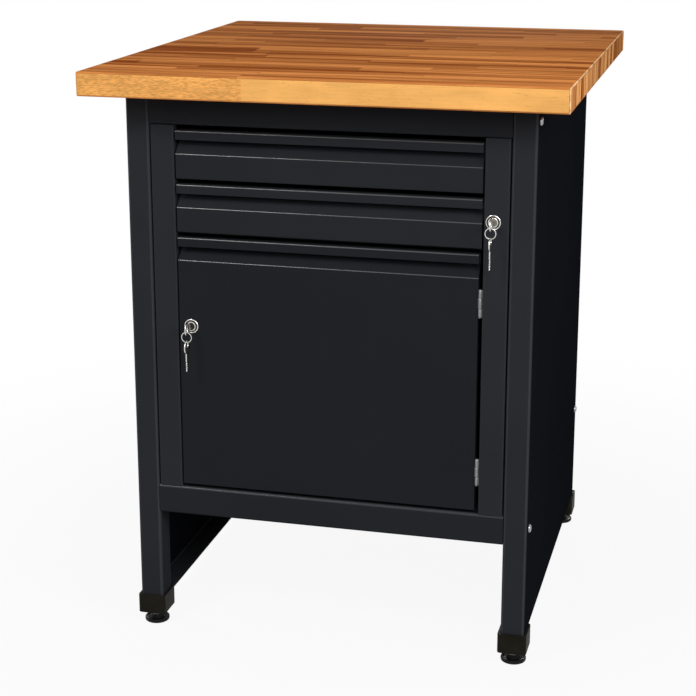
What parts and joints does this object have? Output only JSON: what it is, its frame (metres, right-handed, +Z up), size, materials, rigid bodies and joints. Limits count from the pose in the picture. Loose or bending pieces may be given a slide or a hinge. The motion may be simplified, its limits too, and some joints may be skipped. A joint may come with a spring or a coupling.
{
  "type": "workbench",
  "caption": "Free-standing workbench: laminated wood top on a folded steel frame, with shallow lockable drawers over a lockable cabinet door, folded grips and levelling feet",
  "frame": {"origin": "on the floor, under the middle of the worktop", "axes": "X to the right, Y to the back, Z up; the drawers and the door face -Y"},
  "size_m": [0.7, 0.75, 0.87],
  "materials": {
    "beech": "oiled laminated beech",
    "frame_steel": "anthracite powder coat, matt",
    "cabinet_steel": "anthracite powder coat, matt",
    "front_steel": "anthracite powder coat, matt",
    "shoe_plastic": "moulded, brownish black",
    "foot_plastic": "moulded, black",
    "zinc_steel": "zinc plated",
    "nickel": "nickel plated, polished",
    "key_steel": "nickel-plated key blank"
  },
  "bodies": {
    "bench": {"worktop": "beech", "side_frame_left": "frame_steel", "side_frame_right": "frame_steel", "rail_front_top": "frame_steel", "rail_front_bottom": "frame_steel", "rail_rear_top": "frame_steel", "rail_rear_bottom": "frame_steel", "cabinet_side_left": "cabinet_steel", "cabinet_side_right": "cabinet_steel", "cabinet_back": "cabinet_steel", "cabinet_floor": "cabinet_steel", "cabinet_divider": "cabinet_steel", "runner_upper_left": "zinc_steel", "runner_upper_right": "zinc_steel", "runner_lower_left": "zinc_steel", "runner_lower_right": "zinc_steel", "foot_cap_front_left": "shoe_plastic", "foot_cap_front_right": "shoe_plastic", "foot_cap_rear_left": "shoe_plastic", "foot_cap_rear_right": "shoe_plastic", "bolt_front_top_left": "zinc_steel", "bolt_front_top_right": "zinc_steel", "bolt_front_bottom_left": "zinc_steel", "bolt_front_bottom_right": "zinc_steel", "bolt_rear_top_left": "zinc_steel", "bolt_rear_top_right": "zinc_steel", "bolt_rear_bottom_left": "zinc_steel", "bolt_rear_bottom_right": "zinc_steel", "hinge_upper_frame_leaf": "zinc_steel", "hinge_upper_pin": "zinc_steel", "hinge_lower_frame_leaf": "zinc_steel", "hinge_lower_pin": "zinc_steel", "drawer_lock_housing": "nickel", "drawer_lock_nut": "zinc_steel", "lock_bar_guide_lower": "zinc_steel", "lock_bar_guide_upper": "zinc_steel"},
    "drawer_upper": {"drawer_upper_front": "front_steel", "drawer_upper_tray": "cabinet_steel"},
    "drawer_lower": {"drawer_lower_front": "front_steel", "drawer_lower_tray": "cabinet_steel"},
    "door_leaf": {"door": "front_steel", "hinge_upper_door_leaf": "zinc_steel", "hinge_lower_door_leaf": "zinc_steel", "door_lock_housing": "nickel", "door_lock_nut": "zinc_steel"},
    "door_lock_core": {"door_lock_plug": "nickel", "door_lock_cam": "zinc_steel", "door_key": "key_steel"},
    "door_hanging_keys": {"door_key_ring": "nickel", "door_spare_key": "key_steel"},
    "drawer_lock_core": {"drawer_lock_plug": "nickel", "drawer_lock_cam": "zinc_steel", "drawer_key": "key_steel"},
    "drawer_hanging_keys": {"drawer_key_ring": "nickel", "drawer_spare_key": "key_steel"},
    "sliding_lock_bar": {"lock_bar": "zinc_steel"},
    "foot_front_left": {"levelling_foot_front_left": "foot_plastic"},
    "foot_front_right": {"levelling_foot_front_right": "foot_plastic"},
    "foot_rear_left": {"levelling_foot_rear_left": "foot_plastic"},
    "foot_rear_right": {"levelling_foot_rear_right": "foot_plastic"}
  },
  "joints": [
    {"name": "drawer_upper_slide", "type": "slide", "parent": "bench", "child": "drawer_upper", "axis": [0, -1, 0], "range_m": [0, 0.38]},
    {"name": "drawer_lower_slide", "type": "slide", "parent": "bench", "child": "drawer_lower", "axis": [0, -1, 0], "range_m": [0, 0.38]},
    {"name": "door_hinge", "type": "hinge", "parent": "bench", "child": "door_leaf", "pos_m": [0.2245, -0.315, 0.432], "axis": [0, 0, 1], "range_deg": [0, 105]},
    {"name": "door_lock_turn", "type": "hinge", "parent": "door_leaf", "child": "door_lock_core", "pos_m": [-0.2065, -0.315, 0.4905], "axis": [0, 1, 0], "range_deg": [0, 90]},
    {"name": "door_keys_swing", "type": "hinge", "parent": "door_lock_core", "child": "door_hanging_keys", "pos_m": [-0.2065, -0.3385, 0.4838], "axis": [0, 1, 0], "range_deg": [-90, 0]},
    {"name": "drawer_lock_turn", "type": "hinge", "parent": "bench", "child": "drawer_lock_core", "pos_m": [0.241, -0.315, 0.6715], "axis": [0, 1, 0], "range_deg": [0, 90]},
    {"name": "drawer_keys_swing", "type": "hinge", "parent": "drawer_lock_core", "child": "drawer_hanging_keys", "pos_m": [0.241, -0.3385, 0.6648], "axis": [0, 1, 0], "range_deg": [-90, 0]},
    {"name": "lock_bar_slide", "type": "slide", "parent": "bench", "child": "sliding_lock_bar", "axis": [0, 0, 1], "range_m": [0, 0.01275]},
    {"name": "foot_front_left_turn", "type": "hinge", "parent": "bench", "child": "foot_front_left", "pos_m": [-0.2825, -0.295, 0.02], "axis": [0, 0, 1], "continuous": true},
    {"name": "foot_front_right_turn", "type": "hinge", "parent": "bench", "child": "foot_front_right", "pos_m": [0.2825, -0.295, 0.02], "axis": [0, 0, 1], "continuous": true},
    {"name": "foot_rear_left_turn", "type": "hinge", "parent": "bench", "child": "foot_rear_left", "pos_m": [-0.2825, 0.265, 0.02], "axis": [0, 0, 1], "continuous": true},
    {"name": "foot_rear_right_turn", "type": "hinge", "parent": "bench", "child": "foot_rear_right", "pos_m": [0.2825, 0.265, 0.02], "axis": [0, 0, 1], "continuous": true}
  ],
  "couplings": [
    {"joint": "door_keys_swing", "follows": "door_lock_turn", "ratio": -1},
    {"joint": "drawer_keys_swing", "follows": "drawer_lock_turn", "ratio": -1},
    {"joint": "lock_bar_slide", "follows": "drawer_lock_turn", "m_per_rad": 0.0081}
  ]
}
